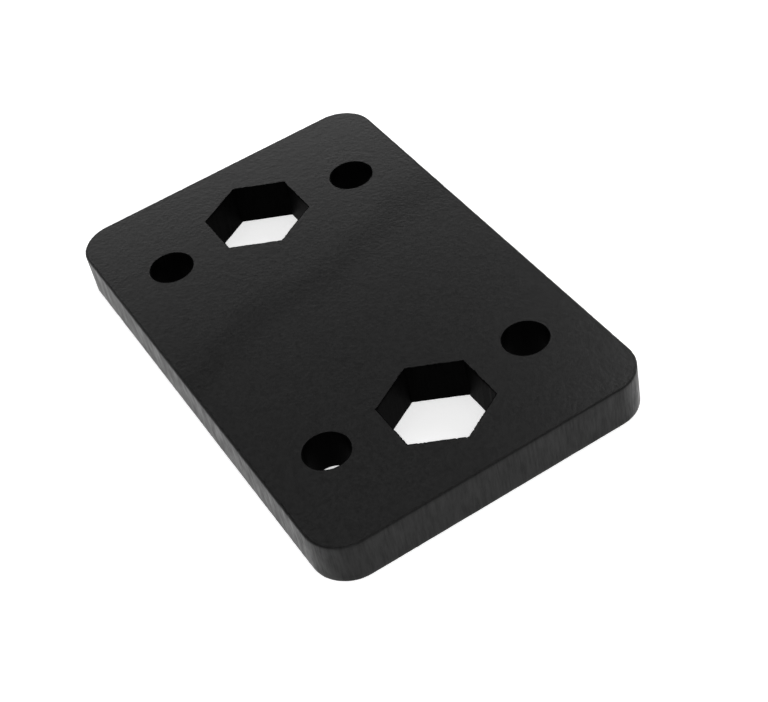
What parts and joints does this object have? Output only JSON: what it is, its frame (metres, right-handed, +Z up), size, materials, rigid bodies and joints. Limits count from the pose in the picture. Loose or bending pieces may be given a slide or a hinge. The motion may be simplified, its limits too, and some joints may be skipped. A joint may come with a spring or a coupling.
{
  "type": "mounting block",
  "caption": "Flat rectangular mounting block in black acetal, with rounded corners, through bolt holes and hexagonal openings that hold nuts or bolt heads.",
  "frame": {"origin": "centre of the underside, midway between the four bolt holes", "axes": "+Z up through the thickness, +Y along the length through both hexagonal openings, +X across the width"},
  "size_m": [0.048, 0.0754, 0.0063],
  "materials": {
    "black_acetal": "matte black sheet with a fine pebbled skin on both faces and finely ridged cut edges"
  },
  "bodies": {
    "root": {"mounting_block": "black_acetal"}
  },
  "joints": []
}
